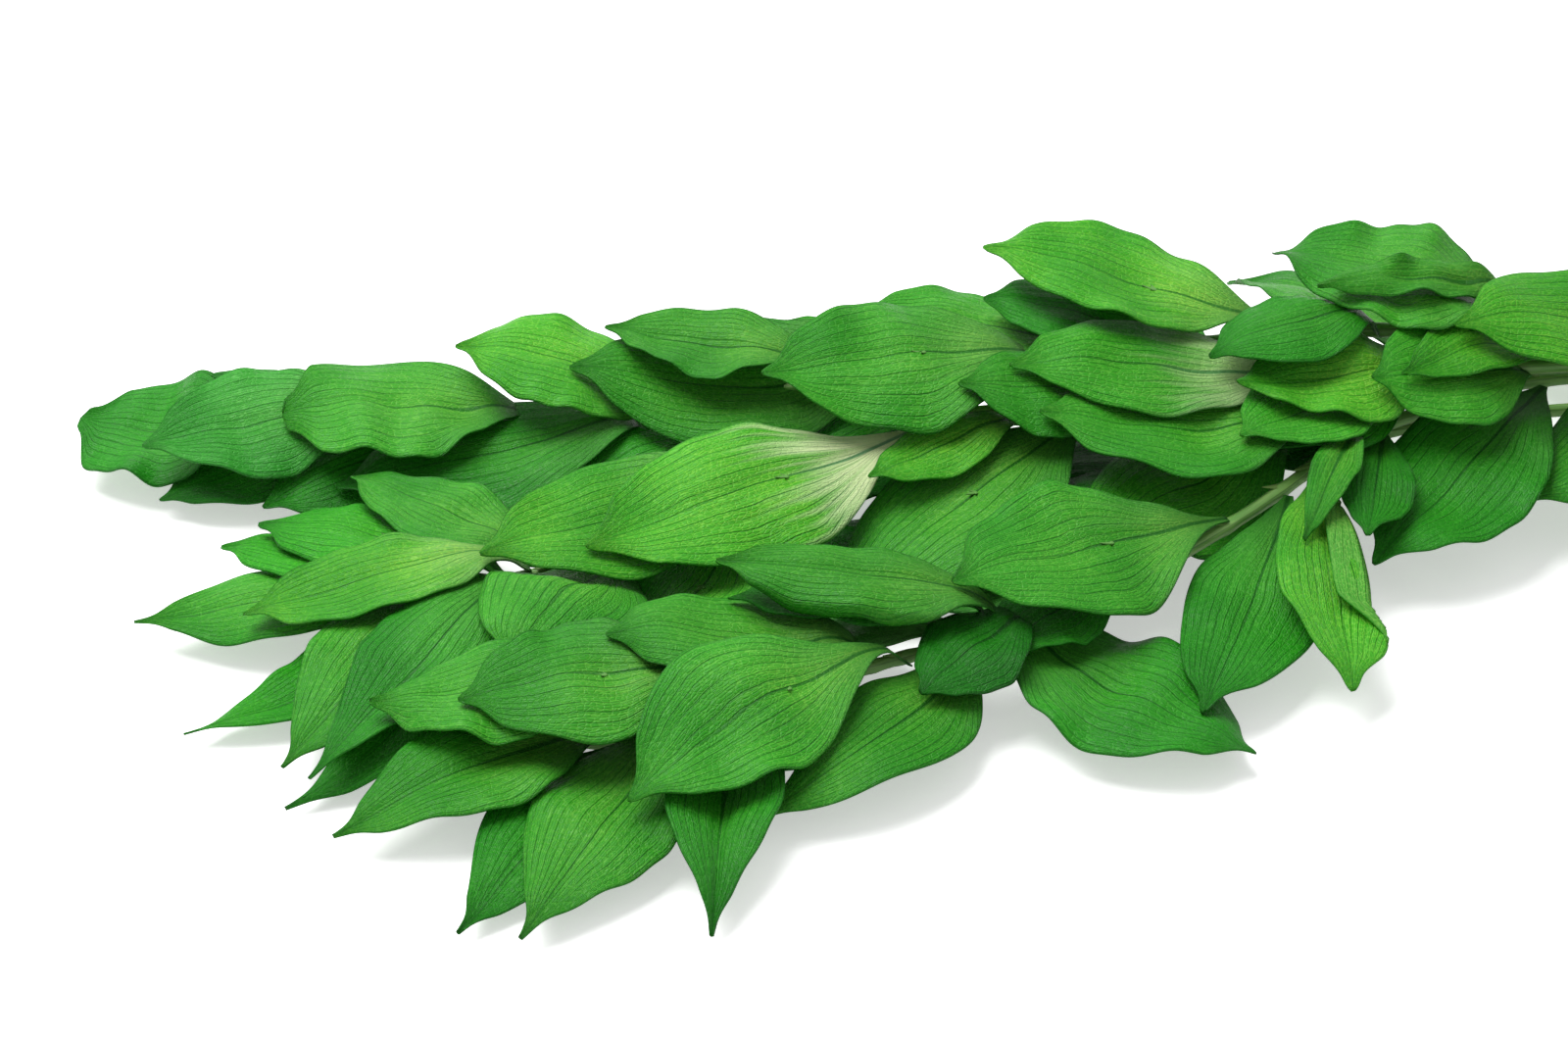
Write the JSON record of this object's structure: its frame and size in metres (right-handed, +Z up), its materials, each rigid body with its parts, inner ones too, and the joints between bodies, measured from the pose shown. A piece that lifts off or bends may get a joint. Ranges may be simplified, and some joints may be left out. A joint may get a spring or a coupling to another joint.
{
  "type": "preserved ruscus bunch",
  "caption": "Bunch of preserved ruscus: leafy green sprays laid flat, pointed oval leaves overlapping along slim stems that gather at an elastic band.",
  "frame": {"origin": "on the surface the bunch lies on, under the middle of its box", "axes": "+X from the tips towards the cut ends, +Y to the bunch's right seen from the tips, +Z up"},
  "size_m": [0.6037, 0.2639, 0.058],
  "materials": {
    "leaf": "satin, waxy, fine arching veins",
    "stem": "smooth, lightly ridged",
    "elastic": "matt"
  },
  "bodies": {
    "root": {"back_leaf_01": "leaf", "back_leaf_02": "leaf", "back_leaf_03": "leaf", "back_leaf_08": "leaf", "back_leaf_09": "leaf", "back_leaf_10": "leaf", "back_leaf_11": "leaf", "back_leaf_12": "leaf", "back_leaf_13": "leaf", "back_leaf_14": "leaf", "back_stem": "stem", "elastic_band": "elastic", "front_leaf_01": "leaf", "front_leaf_02": "leaf", "front_leaf_03": "leaf", "front_leaf_04": "leaf", "front_leaf_06": "leaf", "front_leaf_07": "leaf", "front_leaf_08": "leaf", "front_leaf_10": "leaf", "front_leaf_11": "leaf", "front_leaf_12": "leaf", "front_leaf_14": "leaf", "front_leaf_15": "leaf", "front_leaf_16": "leaf", "front_leaf_17": "leaf", "front_leaf_19": "leaf", "front_leaf_20": "leaf", "front_leaf_21": "leaf", "front_leaf_22": "leaf", "front_stem": "stem", "low_leaf_01": "leaf", "low_stem": "stem", "middle_leaf_02": "leaf", "middle_leaf_03": "leaf", "middle_leaf_04": "leaf", "middle_leaf_05": "leaf", "middle_leaf_07": "leaf", "middle_leaf_08": "leaf", "middle_leaf_09": "leaf", "middle_leaf_10": "leaf", "middle_leaf_11": "leaf", "middle_leaf_12": "leaf", "middle_leaf_13": "leaf", "middle_leaf_14": "leaf", "middle_leaf_16": "leaf", "middle_leaf_17": "leaf", "middle_leaf_18": "leaf", "middle_leaf_19": "leaf", "middle_leaf_20": "leaf", "middle_leaf_22": "leaf", "middle_stem": "stem", "upper_leaf_01": "leaf", "upper_leaf_03": "leaf", "upper_leaf_04": "leaf", "upper_leaf_05": "leaf", "upper_leaf_07": "leaf", "upper_leaf_10": "leaf", "upper_leaf_11": "leaf", "upper_stem": "stem"}
  },
  "joints": []
}
